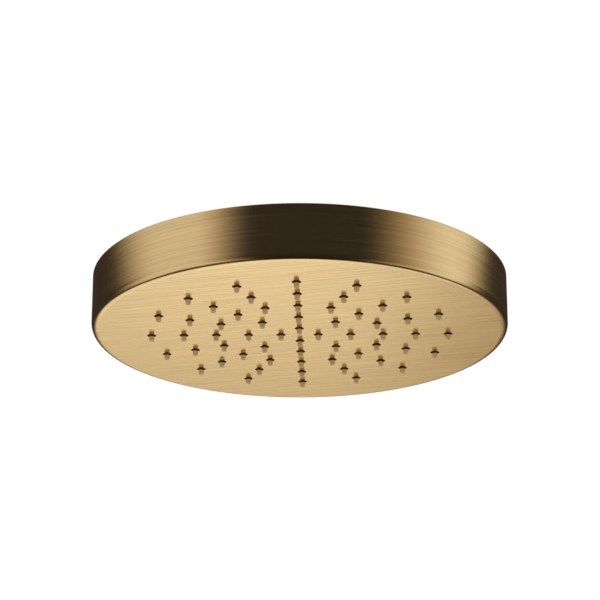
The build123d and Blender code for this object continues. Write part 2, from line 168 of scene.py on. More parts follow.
class NodeSheet:
    """The nodes of one material or of the world."""

    noise_roughness: float = 0.55
    edge_samples: int = 6
    seam_width: Span = (0.25, 0.4)
    seam_lean: Span = (0.1, 0.2)

    def __init__(self, owner: bpy.types.Material | bpy.types.World) -> None:
        """Start an empty sheet.

        Args:
            owner: the material or the world that the nodes belong to.
        """
        owner.use_nodes = True
        self.tree = owner.node_tree
        self.tree.nodes.clear()

    def node(
        self,
        kind: str,
        settings: dict[str, object] | None = None,
        sockets: Sockets | None = None,
        result: int | str = 0,
    ) -> Value:
        """Add a node, set it up and fill its sockets.

        Args:
            kind: Blender's name of the node type.
            settings: properties of the node, which are set first.
            sockets: a value to link or a constant to set, by the socket's index or name.
            result: which output to hand back, where the node has one.

        Returns:
            The chosen output.
        """
        made = self.tree.nodes.new(kind)
        for name, setting in (settings or {}).items():
            setattr(made, name, setting)
        for key, filling in (sockets or {}).items():
            socket = made.inputs[key]
            if isinstance(filling, Value):
                self.tree.links.new(filling.socket, socket)
            else:
                socket.default_value = filling
        if not made.outputs:
            return Value(self, None)
        return Value(self, made.outputs[result])

    def mix(self, factor: Value, first: Value | Colour, second: Value | Colour) -> Value:
        """Blend two colours, links or constants: a factor of 0 gives the first and 1 the second."""
        ends = [end if isinstance(end, Value) else (*end, 1.0) for end in (first, second)]
        return self.node("ShaderNodeMix", {"data_type": "RGBA"}, {0: factor, 6: ends[0], 7: ends[1]}, 2)

    def scaled(self, vector: Value | Colour, amount: Value | float) -> Value:
        """A vector or a colour times a value, through Vector Math."""
        return self.node("ShaderNodeVectorMath", {"operation": "SCALE"}, {0: vector, "Scale": amount})

    def combine(self, x: Value | float, y: Value | float, z: Value | float) -> Value:
        """A vector from three values."""
        return self.node("ShaderNodeCombineXYZ", None, {0: x, 1: y, 2: z})

    def split(self, vector: Value) -> tuple[Value, Value, Value]:
        """The three parts of a vector."""
        parts = self.node("ShaderNodeSeparateXYZ", None, {0: vector})
        return parts, parts.output("Y"), parts.output("Z")

    def place(self) -> tuple[Value, Value, Value]:
        """Where a point is on its own piece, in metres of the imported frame."""
        coordinates = self.node("ShaderNodeTexCoord")
        return self.split(coordinates.output("Object"))

    def facing(self) -> tuple[Value, Value, Value]:
        """Which way the surface faces, in the piece's own axes."""
        coordinates = self.node("ShaderNodeTexCoord")
        return self.split(coordinates.output("Normal"))

    def noise(self, vector: Value, detail: float, w: Value | None = None) -> Value:
        """Noise from 0 to 1 whose cells are one unit wide.

        Args:
            vector: where the noise is read, already in units of a cell.
            detail: how many finer layers it has.
            w: a fourth coordinate, for noise that closes on itself round an axis.

        Returns:
            The noise.
        """
        sockets = {"Vector": vector, "Scale": 1.0, "Detail": detail, "Roughness": self.noise_roughness}
        if w is None:
            return self.node("ShaderNodeTexNoise", {"noise_dimensions": "3D"}, sockets)
        return self.node("ShaderNodeTexNoise", {"noise_dimensions": "4D"}, {**sockets, "W": w})

    def grain(self, width: float, detail: float) -> Value:
        """Noise all through a piece, by the width of its cells in metres and its finer layers."""
        coordinates = self.node("ShaderNodeTexCoord")
        return self.noise(self.scaled(coordinates.output("Object"), 1 / width), detail)

    def ring_noise(self, across: float, cells_round: float, detail: float) -> Value:
        """Noise drawn out along circles about the axis, as a lathe or a turning brush leaves it.

        Args:
            across: width of a mark in metres.
            cells_round: how many marks follow each other round the axis.
            detail: how many finer layers the noise has.

        Returns:
            The noise.
        """
        x, y, z = self.place()
        radius = x.hypot(y)
        turn = cells_round / math.tau
        vector = self.combine(radius / across, z / across, x / radius * turn)
        return self.noise(vector, detail, y / radius * turn)

    def bump(self, height: Value, depth: float, normal: Value | None = None) -> Value:
        """A normal bent by a height.

        Args:
            height: the height from 0 to 1.
            depth: what a height of 1 stands for, in metres.
            normal: a normal to start from.

        Returns:
            The bent normal.
        """
        sockets = {"Height": height, "Distance": depth, "Strength": 1.0}
        if normal is not None:
            sockets["Normal"] = normal
        return self.node("ShaderNodeBump", None, sockets)

    def soft_edges(self, radius: float) -> Value:
        """A normal that rounds the piece's sharp edges a little."""
        return self.node("ShaderNodeBevel", {"samples": self.edge_samples}, {"Radius": radius})

    def carried(self, normal: Value, start: str, end: str) -> Value:
        """A normal carried from one space to another, each by Blender's name."""
        settings = {"vector_type": "NORMAL", "convert_from": start, "convert_to": end}
        return self.node("ShaderNodeVectorTransform", settings, {0: normal})

    def turned(self, normal: Value) -> Value:
        """A normal without the slight lean to a side that a turned solid's mesh has along its seam.

        Args:
            normal: the normal to set straight.

        Returns:
            The normal, in line with the axis wherever it leant by a few degrees near the XZ plane.
        """
        x, y, _ = self.place()
        radius = x.hypot(y)
        east, north, up = self.split(self.carried(normal, "WORLD", "OBJECT"))
        sideways = (north * x - east * y) / radius
        near = 1 - abs(y / radius).step(*self.seam_width)
        lean = sideways * near * (1 - abs(sideways).step(*self.seam_lean))
        straight = self.combine(east + y / radius * lean, north - x / radius * lean, up)
        return self.carried(straight, "OBJECT", "WORLD")

    def surface(self, sockets: Sockets) -> Value:
        """A Principled shader with these sockets."""
        return self.node("ShaderNodeBsdfPrincipled", None, sockets)

    def close(self, surface: Value, output: str = "ShaderNodeOutputMaterial") -> None:
        """Send a shader to the sheet's output."""
        self.node(output, None, {"Surface": surface})


@dataclass(frozen=True)
class Finish:
    """What all finishes share: a name, a base colour and a mean roughness."""

    name: str
    colour: Colour
    roughness: float

    def material(self) -> bpy.types.Material:
        """Make the material of this finish.

        Returns:
            The material.
        """
        made = bpy.data.materials.new(self.name)
        sheet = NodeSheet(made)
        sheet.close(self.shader(sheet))
        return made

    def shader(self, sheet: NodeSheet) -> Value:
        """The shader of this finish, on a sheet."""
        raise NotImplementedError

    def shaded(self, sheet: NodeSheet, amount: Value, spread: float) -> Value:
        """The base colour, from darker to lighter by a share of itself as an amount goes from 0 to 1."""
        dark, light = [tuple(part * share for part in self.colour) for share in (1 - spread, 1 + spread)]
        return sheet.mix(amount, dark, light)


@dataclass(frozen=True)
class Brass(Finish):
    """What the brass finishes share: a metal that keeps its colour towards its edges."""

    edge_tint: Colour = (0.92, 0.85, 0.7)
    grain_turn: float = 0.25

    def metal(self, sheet: NodeSheet, sockets: Sockets, grain: float = 0.0) -> Value:
        """A brass shader.

        Args:
            sheet: where the nodes go.
            sockets: what the shader gets besides what all brass has.
            grain: how far brush marks round the axis draw its reflections out.

        Returns:
            The shader.
        """
        shared = {
            "Metallic": 1.0,
            "Specular Tint": (*self.edge_tint, 1.0),
            "Anisotropic": grain,
            "Anisotropic Rotation": self.grain_turn,
        }
        return sheet.surface({**shared, **sockets})


@dataclass(frozen=True)
class DrumBrass(Brass):
    """Brass brushed in straight lines over the spray face and round the side wall."""

    line_angle: float = math.radians(13.0)
    line_width: float = 1.1 * MILLIMETRE
    line_length: float = 42.0 * MILLIMETRE
    line_roughness: float = 0.06
    scratch_width: float = 0.25 * MILLIMETRE
    scratch_length: float = 70.0 * MILLIMETRE
    scratch_share: float = 0.4
    scratch_range: Span = (0.5, 0.62)
    scratch_roughness: float = 0.2
    face_spread: float = 0.36
    face_depth: float = 0.0035 * MILLIMETRE
    face_facing: Span = (0.95, 0.995)
    wall_line_width: float = 0.5 * MILLIMETRE
    wall_lines_round: float = 11.0
    wall_line_roughness: float = 0.1
    wall_spread: float = 0.24
    wall_depth: float = 0.002 * MILLIMETRE
    wall_roughness: float = 0.2
    wall_grain: float = 0.5
    # Painted shade: the hole walls and the cup's inside are coloured near black, as the shade in the holes.
    painted_hole_shade: Colour = (0.045, 0.02, 0.003)
    painted_hole_shade_radius: Span = (95.0 * MILLIMETRE, 96.0 * MILLIMETRE)
    inside_roughness: float = 0.3
    outer_radius: float = 100.0 * MILLIMETRE
    lip_radius: float = 3.2 * MILLIMETRE
    lip_skin: Span = (0.9, 0.96)

    def skin(self, sheet: NodeSheet) -> Value:
        """The true normal of the round lip and the wall, without the facets of the mesh.

        Args:
            sheet: where the nodes go.

        Returns:
            The normal, in the axes of the world.
        """
        x, y, z = sheet.place()
        radius = x.hypot(y)
        lip_height = FACE_HEIGHT + self.lip_radius
        out = (radius - (self.outer_radius - self.lip_radius)).larger(0.0)
        down = (lip_height - z).larger(0.0)
        spoke = sheet.combine(x / radius * out, y / radius * out, -down)
        unit = sheet.node("ShaderNodeVectorMath", {"operation": "NORMALIZE"}, {0: spoke})
        true = sheet.carried(unit, "OBJECT", "WORLD")
        outside = (out.hypot(down) / self.lip_radius).step(*self.lip_skin)
        share = outside * (1 - z.step(lip_height, lip_height + self.lip_radius))
        meshed = sheet.turned(sheet.node("ShaderNodeNewGeometry").output("Normal"))
        return sheet.node("ShaderNodeMix", {"data_type": "VECTOR"}, {0: share, 4: meshed, 5: true}, 1)

    def face(self, sheet: NodeSheet) -> Value:
        """The shader of the spray face.

        Args:
            sheet: where the nodes go.

        Returns:
            The shader.
        """
        x, y, z = sheet.place()
        along = x * math.cos(self.line_angle) - y * math.sin(self.line_angle)
        across = x * math.sin(self.line_angle) + y * math.cos(self.line_angle)
        short = sheet.combine(along / self.line_length, across / self.line_width, z)
        long = sheet.combine(along / self.scratch_length, across / self.scratch_width, z)
        scratches = sheet.noise(long, detail=1.0)
        lines = sheet.noise(short, detail=0.5) * (1 - self.scratch_share) + scratches * self.scratch_share
        rough = scratches.step(*self.scratch_range) * self.scratch_roughness
        return self.metal(
            sheet,
            {
                "Base Color": self.shaded(sheet, lines, self.face_spread),
                "Roughness": rough + lines.about(self.roughness, self.line_roughness),
                "Normal": sheet.bump(lines, self.face_depth),
            },
        )

    def wall(self, sheet: NodeSheet) -> Value:
        """The shader of the side wall, the lip, and the inside with its punched holes, whose walls get painted
        shade.

        Args:
            sheet: where the nodes go.

        Returns:
            The shader.
        """
        x, y, _ = sheet.place()
        # Painted shade mask: 1 within about 95 mm of the axis, which covers the hole walls and the cup's inside.
        painted_hole_shade_mask = 1 - x.hypot(y).step(*self.painted_hole_shade_radius)
        lines = sheet.ring_noise(self.wall_line_width, self.wall_lines_round, detail=1.0)
        rough = lines.about(self.wall_roughness, self.wall_line_roughness)
        return self.metal(
            sheet,
            {
                "Base Color": sheet.mix(painted_hole_shade_mask, self.shaded(sheet, lines, self.wall_spread), self.painted_hole_shade),
                "Roughness": rough + painted_hole_shade_mask * self.inside_roughness,
                "Normal": sheet.bump(lines, self.wall_depth, self.skin(sheet)),
            },
            self.wall_grain,
        )

    def shader(self, sheet: NodeSheet) -> Value:
        """The face's shader where the surface looks down, and the wall's elsewhere."""
        share = (-sheet.facing()[2]).step(*self.face_facing)
        return sheet.node("ShaderNodeMixShader", None, {0: share, 1: self.wall(sheet), 2: self.face(sheet)})


@dataclass(frozen=True)
class TurnedBrass(Brass):
    """Brass with the fine rings that turning and brushing on a lathe leave."""

    ring_width: float = 0.35 * MILLIMETRE
    ring_depth: float = 0.004 * MILLIMETRE
    ring_roughness: float = 0.12
    marks_round: float = 24.0
    band_rings: float = 12.0
    bands_round: float = 5.0
    band_share: float = 0.3
    band_roughness: float = 0.05
    spread: float = 0.07
    edge_radius: float = 0.25 * MILLIMETRE
    grain: float = 0.6

    def shader(self, sheet: NodeSheet) -> Value:
        """The shader of the turned brass.

        Args:
            sheet: where the nodes go.

        Returns:
            The shader.
        """
        rings = sheet.ring_noise(self.ring_width, self.marks_round, detail=3.0)
        bands = sheet.ring_noise(self.band_rings * self.ring_width, self.bands_round, detail=1.0)
        marks = rings * (1 - self.band_share) + bands * self.band_share
        rough = rings.about(self.roughness, self.ring_roughness)
        edges = sheet.turned(sheet.soft_edges(self.edge_radius))
        return self.metal(
            sheet,
            {
                "Base Color": self.shaded(sheet, marks, self.spread),
                "Roughness": rough + bands.about(0.0, self.band_roughness),
                "Normal": sheet.bump(rings, self.ring_depth, edges),
            },
            self.grain,
        )


@dataclass(frozen=True)
class Silicone(Finish):
    """Soft silicone: matt, slightly mottled, with a fine moulded skin, and painted shade darkening it towards the
    holes.
    """

    # Painted shade: the nozzle roots go dark near the face plate, where the holes shade them.
    painted_root_shade: Colour = (0.06, 0.02, 0.002)
    painted_root_shade_height: Span = (FACE_HEIGHT - 0.9 * MILLIMETRE, FACE_HEIGHT - 0.4 * MILLIMETRE)
    mottle_width: float = 0.9 * MILLIMETRE
    mottle_spread: float = 0.16
    skin_width: float = 0.12 * MILLIMETRE
    skin_depth: float = 0.006 * MILLIMETRE
    skin_roughness: float = 0.12
    gloss: float = 0.25
    gloss_tint: Colour = (1.0, 0.75, 0.4)

    def shader(self, sheet: NodeSheet) -> Value:
        """The shader of the silicone.

        Args:
            sheet: where the nodes go.

        Returns:
            The shader.
        """
        mottle = sheet.grain(self.mottle_width, detail=2.0)
        skin = sheet.grain(self.skin_width, detail=1.0)
        # Painted shade mask by height: 1 from about 0.4 mm below the face plate up into the holes, 0 towards the
        # tips.
        painted_root_shade_mask = sheet.place()[2].step(*self.painted_root_shade_height)
        return sheet.surface(
            {
                "Base Color": sheet.mix(painted_root_shade_mask, self.shaded(sheet, mottle, self.mottle_spread), self.painted_root_shade),
                "Roughness": skin.about(self.roughness, self.skin_roughness),
                "Specular IOR Level": self.gloss,
                "Specular Tint": (*self.gloss_tint, 1.0),
                "Normal": sheet.bump(skin, self.skin_depth),
            }
        )


@dataclass(frozen=True)
class MouldedPlastic(Finish):
    """Plain moulded plastic with a spark-eroded skin and faint flow marks."""

    skin_width: float = 0.25 * MILLIMETRE
    skin_depth: float = 0.01 * MILLIMETRE
    skin_roughness: float = 0.14
    flow_width: float = 14.0 * MILLIMETRE
    flow_spread: float = 0.06
    edge_radius: float = 0.3 * MILLIMETRE

    def shader(self, sheet: NodeSheet) -> Value:
        """The shader of the plastic.

        Args:
            sheet: where the nodes go.

        Returns:
            The shader.
        """
        skin = sheet.grain(self.skin_width, detail=2.0)
        flow = sheet.grain(self.flow_width, detail=2.0)
        edges = sheet.soft_edges(self.edge_radius)
        return sheet.surface(
            {
                "Base Color": self.shaded(sheet, flow, self.flow_spread),
                "Roughness": skin.about(self.roughness, self.skin_roughness),
                "Normal": sheet.bump(skin, self.skin_depth, edges),
            }
        )


@dataclass(frozen=True)
class SealRubber(Finish):
    """Dark rubber of gaskets and seals, with a trace of pale moulding powder."""

    powder: Colour = (0.09, 0.09, 0.088)
    powder_width: float = 1.8 * MILLIMETRE
    powder_range: Span = (0.5, 0.8)
    powder_share: float = 0.5
    powder_roughness: float = 0.15
    skin_width: float = 0.18 * MILLIMETRE
    skin_depth: float = 0.012 * MILLIMETRE
    skin_roughness: float = 0.08

    def shader(self, sheet: NodeSheet) -> Value:
        """The shader of the rubber.

        Args:
            sheet: where the nodes go.

        Returns:
            The shader.
        """
        skin = sheet.grain(self.skin_width, detail=2.0)
        dust = sheet.grain(self.powder_width, detail=3.0).step(*self.powder_range)
        rough = skin.about(self.roughness, self.skin_roughness)
        return sheet.surface(
            {
                "Base Color": sheet.mix(dust * self.powder_share, self.colour, self.powder),
                "Roughness": rough + dust * self.powder_roughness,
                "Normal": sheet.bump(skin, self.skin_depth),
            }
        )


@dataclass(frozen=True)
class Stainless(Finish):
    """Stainless sheet and screws, brushed along one direction."""

    line_width: float = 0.15 * MILLIMETRE
    line_length: float = 3.0 * MILLIMETRE
    line_depth: float = 0.004 * MILLIMETRE
    line_roughness: float = 0.16
    spread: float = 0.08
    edge_radius: float = 0.15 * MILLIMETRE

    def shader(self, sheet: NodeSheet) -> Value:
        """The shader of the steel.

        Args:
            sheet: where the nodes go.

        Returns:
            The shader.
        """
        x, y, z = sheet.place()
        place = sheet.combine(x / self.line_length, y / self.line_width, z / self.line_width)
        lines = sheet.noise(place, detail=2.0)
        edges = sheet.soft_edges(self.edge_radius)
        return sheet.surface(
            {
                "Base Color": self.shaded(sheet, lines, self.spread),
                "Metallic": 1.0,
                "Roughness": lines.about(self.roughness, self.line_roughness),
                "Normal": sheet.bump(lines, self.line_depth, edges),
            }
        )


BRASS_COLOUR: Colour = (0.73, 0.546, 0.283)
DRUM_BRASS = DrumBrass("brushed_drum_brass", BRASS_COLOUR, 0.16)
LID_BRASS = TurnedBrass("brushed_lid_brass", BRASS_COLOUR, 0.3)
FITTING_BRASS = TurnedBrass("turned_fitting_brass", BRASS_COLOUR, 0.26, ring_width=0.2 * MILLIMETRE)
RAW_BRASS = TurnedBrass("raw_insert_brass", (0.66, 0.5, 0.24), 0.38, ring_width=0.5 * MILLIMETRE)
NOZZLE_SILICONE = Silicone("tan_nozzle_silicone", (0.6, 0.395, 0.168), 0.55)
CHAMBER_PLASTIC = MouldedPlastic("chamber_plastic", (0.09, 0.09, 0.092), 0.5)
BEARING_PLASTIC = MouldedPlastic("bearing_plastic", (0.7, 0.69, 0.65), 0.42)
GASKET_RUBBER = SealRubber("gasket_rubber", (0.018, 0.018, 0.018), 0.56)
STRAINER_STEEL = Stainless("strainer_steel", (0.6, 0.59, 0.57), 0.3)


def stand(name: str, shape: bmesh.types.BMesh, surface: bpy.types.Material) -> bpy.types.Object:
    """Turn a finished shape into a thing that stands in the scene.

    Args:
        name: its name.
        shape: its faces, which this call frees.
        surface: its material.

    Returns:
        The thing.
    """
    mesh = bpy.data.meshes.new(name)
    shape.to_mesh(mesh)
    shape.free()
    mesh.materials.append(surface)
    made = bpy.data.objects.new(name, mesh)
    bpy.context.scene.collection.objects.link(made)
    return made


class Shop:
    """Where materials and meshes are made and put on pieces, each material once."""

    def __init__(self) -> None:
        """Start with no materials made."""
        self.made: dict[str, bpy.types.Material] = {}

    def material(self, finish: Finish) -> bpy.types.Material:
        """The material of a finish, made the first time it is asked for.

        Args:
            finish: the finish.

        Returns:
            Its material.
        """
        if finish.name not in self.made:
            self.made[finish.name] = finish.material()
        return self.made[finish.name]

    def dress(self, node: str, finish: Finish) -> None:
        """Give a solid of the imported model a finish.

        Args:
            node: the solid's name.
            finish: what it is dressed in.
        """
        for slot in frame["nodes"][node].material_slots:
            slot.material = self.material(finish)
        LOG.info("%s keeps its solid, in %s", node, finish.name)

    def piece(self, name: str, shape: bmesh.types.BMesh, finish: Finish, crease: float) -> bpy.types.Object:
        """Turn a finished shape into a piece of the shower head.

        Args:
            name: the piece's name.
            shape: its faces, which this call frees.
            finish: what it is dressed in.
            crease: the angle in degrees above which an edge stays sharp.

        Returns:
            The piece.
        """
        bmesh.ops.recalc_face_normals(shape, faces=shape.faces)
        made = stand(name, shape, self.material(finish))
        made.data.shade_smooth()
        made.data.set_sharp_from_angle(angle=math.radians(crease))
        LOG.info("%s built with %d faces, in %s", name, len(made.data.polygons), finish.name)
        return made


class Lathe:
    """Rings of points about an axis, and the faces between them."""

    def __init__(self, shape: bmesh.types.BMesh, sides: int, centre: Spot = (0.0, 0.0)) -> None:
        """Turn about an upright axis.

        Args:
            shape: where the points and faces go.
            sides: how many points a ring has.
            centre: where the axis stands.
        """
        self.shape = shape
        self.sides = sides
        self.centre = centre

    def angles(self) -> list[float]:
        """The angle of each point of a ring."""
        return [math.tau * step / self.sides for step in range(self.sides)]

    def ring(self, radius: float, z: float) -> Ring:
        """One round ring of points, by its radius and its height."""
        spots = [(radius * math.cos(angle), radius * math.sin(angle)) for angle in self.angles()]
        return self.curve([(x, y, z) for x, y in spots])

    def curve(self, points: list[Point]) -> Ring:
        """One ring through these points, given from the axis."""
        east, north = self.centre
        return [self.shape.verts.new((x + east, y + north, z)) for x, y, z in points]

    def join(self, first: Ring, second: Ring) -> None:
        """Span the band between two rings with faces.

        Args:
            first: one ring.
            second: the other ring.
        """
        for here in range(self.sides):
            after = (here + 1) % self.sides
            self.shape.faces.new((first[here], first[after], second[after], second[here]))

    def span(self, rings: list[Ring]) -> None:
        """Span all the bands between rings in order."""
        for first, second in zip(rings, rings[1:]):
            self.join(first, second)


def edges_of(ring: Ring, shape: bmesh.types.BMesh) -> list[bmesh.types.BMEdge]:
    """The edges round a ring of a shape, made where they are missing."""
    pairs = zip(ring, ring[1:] + ring[:1])
    return [shape.edges.get(pair) or shape.edges.new(pair) for pair in pairs]


@dataclass
class Drum:
    """The cup with the spray face, and the lid that closes it."""

    cup: str = "shell"
    lid: str = "lid"

    def dress(self, shop: Shop) -> None:
        """Dress the cup and the lid."""
        shop.dress(self.cup, DRUM_BRASS)
        shop.dress(self.lid, LID_BRASS)


@dataclass
class NozzleMat:
    """The silicone sheet with its sixty soft nozzles, each drilled for its jet."""

    node: str = "nozzle_mat"
    ring_counts: tuple[int, ...] = (4, 8, 16, 16, 16)
    first_ring: float = 8.96 * MILLIMETRE
    ring_pitch: float = 15.6 * MILLIMETRE
    thickness: float = 2.0 * MILLIMETRE
    root_radius: float = 1.33 * MILLIMETRE
    tip_radius: float = 1.19 * MILLIMETRE
    root_fillet: float = 0.4 * MILLIMETRE
    tip_round: float = 0.2 * MILLIMETRE
    bends: tuple[int, ...] = (0, 30, 60, 90)
    jet_radius: float = 0.55 * MILLIMETRE
    jet_flare: float = 0.12 * MILLIMETRE
    sides: int = 28
    rim_sides: int = 144
    crease: float = 40.0

    def places(self) -> list[Spot]:
        """Where the nozzles stand.

        Returns:
            Their places, ring by ring.
        """
        found = []
        for index, count in enumerate(self.ring_counts):
            radius = self.first_ring + index * self.ring_pitch
            angles = [math.tau * step / count for step in range(count)]
            found += [(radius * math.cos(angle), radius * math.sin(angle)) for angle in angles]
        return found

    def profile(self, top: float, tip: float) -> Profile:
        """Radii and heights from the sheet's lower side down the nozzle and back up its jet.

        Args:
            top: height of the sheet's upper side.
            tip: height of the nozzle's tip.

        Returns:
            The profile, from the lower side to the upper one.
        """
        under = top - self.thickness
        bends = [math.radians(angle) for angle in self.bends]
        arc = [(math.cos(bend), math.sin(bend)) for bend in bends]
        root_centre = self.root_radius + self.root_fillet
        fillet = [
            (root_centre - self.root_fillet * sine, under - self.root_fillet * (1 - cosine))
            for cosine, sine in arc
        ]
        tip_centre = self.tip_radius - self.tip_round
        rounding = [
            (tip_centre + self.tip_round * cosine, tip + self.tip_round * (1 - sine)) for cosine, sine in arc
        ]
        jet = [
            (self.jet_radius + self.jet_flare, tip),
            (self.jet_radius, tip + self.jet_flare),
            (self.jet_radius, top - self.jet_flare),
            (self.jet_radius + self.jet_flare, top),
        ]
        return fillet + rounding + jet

    def build(self, shop: Shop) -> None:
        """Build the sheet with its nozzles in place of the plain solid.

        Args:
            shop: where pieces get their finishes.
        """
        low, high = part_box(self.node)
        shape = bmesh.new()
        rim = Lathe(shape, self.rim_sides)
        rim_rings = [rim.ring(high.x, high.z - self.thickness), rim.ring(high.x, high.z)]
        rim.span(rim_rings)
        lower_edges = edges_of(rim_rings[0], shape)
        upper_edges = edges_of(rim_rings[1], shape)
        profile = self.profile(high.z, low.z)
        for centre in self.places():
            lathe = Lathe(shape, self.sides, centre)
            rings = [lathe.ring(radius, z) for radius, z in profile]
            lathe.span(rings)
            lower_edges += edges_of(rings[0], shape)
            upper_edges += edges_of(rings[-1], shape)
        for edges in (lower_edges, upper_edges):
            bmesh.ops.triangle_fill(shape, use_beauty=True, edges=edges)
        mat = shop.piece("nozzle_mat_moulded", shape, NOZZLE_SILICONE, self.crease)
        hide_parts(self.node)
        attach(mat, Body.HEAD.value)


@dataclass
class WaterChamber:
    """The chamber behind the mat, with its screws, its threaded insert and its seal."""

    cover: str = "chamber_cover"
    fasteners: tuple[str, ...] = ("chamber_screws", "screw_washers")
    insert: str = "neck_insert"
    seal: str = "barrel_gasket"

    def dress(self, shop: Shop) -> None:
        """Dress the chamber's pieces.

        Args:
            shop: where pieces get their finishes.
        """
        shop.dress(self.cover, CHAMBER_PLASTIC)
        for fastener in self.fasteners:
            shop.dress(fastener, STRAINER_STEEL)
        shop.dress(self.insert, RAW_BRASS)
        shop.dress(self.seal, GASKET_RUBBER)


@dataclass
class BallJoint:
    """The barrel, the collar nut and the rings that hold the ball."""

    turned: tuple[str, ...] = ("ball_socket", "collar_nut")
    bearing: str = "friction_ring"
    seals: tuple[str, ...] = ("ball_seal", "flange_gasket")

    def dress(self, shop: Shop) -> None:
        """Dress the joint's pieces.

        Args:
            shop: where pieces get their finishes.
        """
        for node in self.turned:
            shop.dress(node, FITTING_BRASS)
        shop.dress(self.bearing, BEARING_PLASTIC)
        for seal in self.seals:
            shop.dress(seal, GASKET_RUBBER)


@dataclass
class InletStem:
    """The ball, the neck and the inlet socket, with a cut pipe thread and spanner flats."""

    node: str = "ball_stem"
    ball_radius: float = 15.0 * MILLIMETRE
    ball_flat: float = 9.0 * MILLIMETRE
    neck_radius: float = 9.5 * MILLIMETRE
    neck_top: float = -14.3 * MILLIMETRE
    socket_radius: float = 13.0 * MILLIMETRE
    socket_bottom: float = -10.8 * MILLIMETRE
    flat_distance: float = 12.0 * MILLIMETRE
    flat_height: float = 7.0 * MILLIMETRE
    edge_break: float = 0.5 * MILLIMETRE
    relief_radius: float = 10.6 * MILLIMETRE
    relief_length: float = 2.0 * MILLIMETRE
    pocket_radius: float = 7.5 * MILLIMETRE
    pocket_depth: float = 5.0 * MILLIMETRE
    bore_radius: float = 5.5 * MILLIMETRE
    pitch: float = 1.814 * MILLIMETRE
    thread_depth: float = 1.16 * MILLIMETRE
    rings_per_turn: int = 14
    lead_in: float = 0.25
    lead_out: float = 0.6
    ball_rings: int = 26
    sides: int = 96
    crease: float = 32.0

    def outside(self, ball_height: float, flats_bottom: float) -> Profile:
        """Radii and heights of the round outside, from the ball's end up to the spanner flats.

        Args:
            ball_height: height of the ball's centre.
            flats_bottom: height of the flats' lower end.

        Returns:
            The profile.
        """
        start = math.asin(self.ball_flat / self.ball_radius)
        end = math.pi - math.asin(self.neck_radius / self.ball_radius)
        sweep = [start + (end - start) * step / self.ball_rings for step in range(self.ball_rings + 1)]
        ball = [
            (self.ball_radius * math.sin(angle), ball_height - self.ball_radius * math.cos(angle))
            for angle in sweep
        ]
        return ball + [
            (self.neck_radius, self.neck_top),
            (self.socket_radius, self.socket_bottom),
            (self.socket_radius, flats_bottom),
        ]

    def flats(self, flats_bottom: float, mouth: float) -> Profile:
        """Radii and heights beside the spanner flats, up to the mouth.

        Args:
            flats_bottom: height of the flats' lower end.
            mouth: height of the socket's upper end.

        Returns:
            The profile.
        """
        return [
            (self.socket_radius, flats_bottom),
            (self.socket_radius, mouth - self.edge_break),
            (self.socket_radius - self.edge_break, mouth),
        ]

    def flattened(self, lathe: Lathe, radius: float, z: float) -> Ring:
        """A ring that the spanner flats cut off at the front and the back.

        Args:
            lathe: where the ring is made.
            radius: the ring's radius.
            z: its height.

        Returns:
            The ring's points.
        """
        points = []
        for angle in lathe.angles():
            north = max(-self.flat_distance, min(self.flat_distance, radius * math.sin(angle)))
            points.append((radius * math.cos(angle), north, z))
        return lathe.curve(points)

    def waterway(self, thread_end: float, ball_end: float) -> Profile:
        """Radii and heights below the thread, down to the ball's end.

        Args:
            thread_end: height of the thread's lower end.
            ball_end: height of the ball's flat end.

        Returns:
            The profile.
        """
        seat = thread_end - self.relief_length
        pocket = seat - self.pocket_depth
        return [
            (self.relief_radius, thread_end),
            (self.relief_radius, seat),
            (self.pocket_radius, seat),
            (self.pocket_radius, pocket),
            (self.bore_radius, pocket),
            (self.bore_radius, ball_end),
        ]

    def thread_radius(self, crest: float, z: float, angle: float, length: float) -> float:
        """Radius of the cut thread at a height and an angle.

        Args:
            crest: radius of the thread's crests.
            z: the height, with the thread's start at 0 and its end below it.
            angle: the angle about the axis.
            length: the thread's length.

        Returns:
            The radius.
        """
        turn = (z / self.pitch - angle / math.tau) % 1.0
        slope = abs(2 * turn - 1)
        rounded = slope * slope * (3 - 2 * slope)
        started = min(1.0, -z / self.pitch + self.lead_in)
        ended = min(1.0, (length + z) / self.pitch + self.lead_out)
        return crest + self.thread_depth * rounded * min(started, ended)

    def thread(self, lathe: Lathe, crest: float, length: float) -> list[Ring]:
        """The rings of the cut thread, from its start downwards.

        Args:
            lathe: where the rings are made.
            crest: radius of the thread's crests.
            length: the thread's length.

        Returns:
            The rings.
        """
        rings = []
        steps = round(length / self.pitch * self.rings_per_turn)
        for step in range(steps + 1):
            z = -length * step / steps
            points = []
            for angle in lathe.angles():
                radius = self.thread_radius(crest, z, angle, length)
                points.append((radius * math.cos(angle), radius * math.sin(angle), z))
            rings.append(lathe.curve(points))
        return rings

    def build(self, shop: Shop) -> None:
        """Build the stem in place of the plain solid.

        Args:
            shop: where pieces get their finishes.
        """
        low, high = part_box(self.node)
        ball_height = frame["joints"][0]["pos_m"][2]
        thread = frame["record"]["mounts"][0]["dims"]
        crest = thread["r_mm"] * MILLIMETRE
        length = thread["length_mm"] * MILLIMETRE
        flats_bottom = high.z - self.flat_height
        countersink = crest + high.z
        shape = bmesh.new()
        lathe = Lathe(shape, self.sides)
        rings = [lathe.ring(radius, z) for radius, z in self.outside(ball_height, flats_bottom)]
        rings += [self.flattened(lathe, radius, z) for radius, z in self.flats(flats_bottom, high.z)]
        rings.append(lathe.ring(countersink, high.z))
        rings += self.thread(lathe, crest, length)
        rings += [lathe.ring(radius, z) for radius, z in self.waterway(-length, low.z)]
        lathe.span(rings + rings[:1])
        stem = shop.piece("ball_stem_threaded", shape, FITTING_BRASS, self.crease)
        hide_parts(self.node)
        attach(stem, Body.INLET.value)


